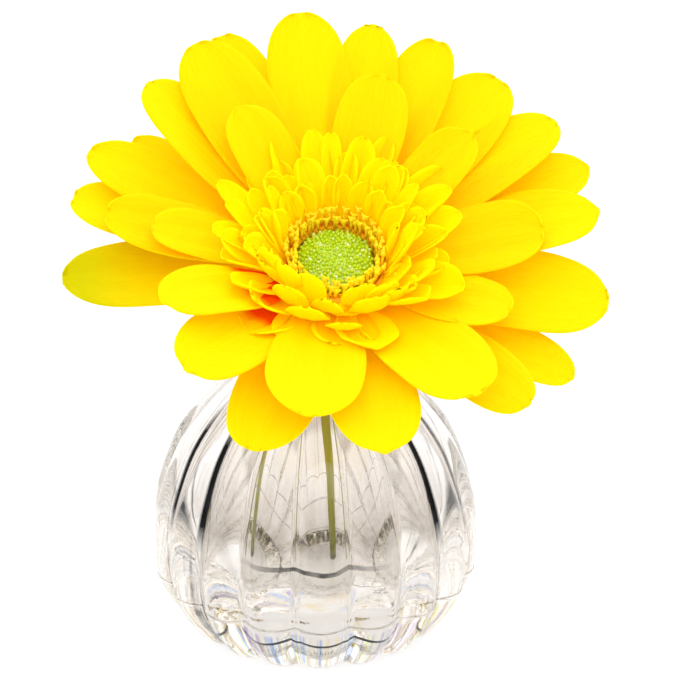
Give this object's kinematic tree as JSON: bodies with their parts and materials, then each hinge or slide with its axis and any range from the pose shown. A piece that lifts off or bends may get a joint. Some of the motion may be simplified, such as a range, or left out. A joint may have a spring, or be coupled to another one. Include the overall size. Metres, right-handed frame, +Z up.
{
  "type": "gerbera in a vase",
  "caption": "Yellow gerbera in bloom, leaning forward from the short neck of a clear ribbed globe vase with water in it.",
  "frame": {"origin": "centre of the vase's flat underside", "axes": "+Z up along the vase's axis; the flower leans and looks toward -Y; +X to the right as it is looked at"},
  "size_m": [0.1216, 0.1021, 0.1382],
  "materials": {
    "clear_glass": "gloss",
    "water": "gloss",
    "green_stem": "matte",
    "yellow_petals": "matte",
    "golden_florets": "matte",
    "green_eye": "satin"
  },
  "bodies": {
    "root": {"vase": "clear_glass", "water": "water", "stem": "green_stem", "petals": "yellow_petals", "fringe": "golden_florets", "eye": "green_eye"}
  },
  "joints": []
}
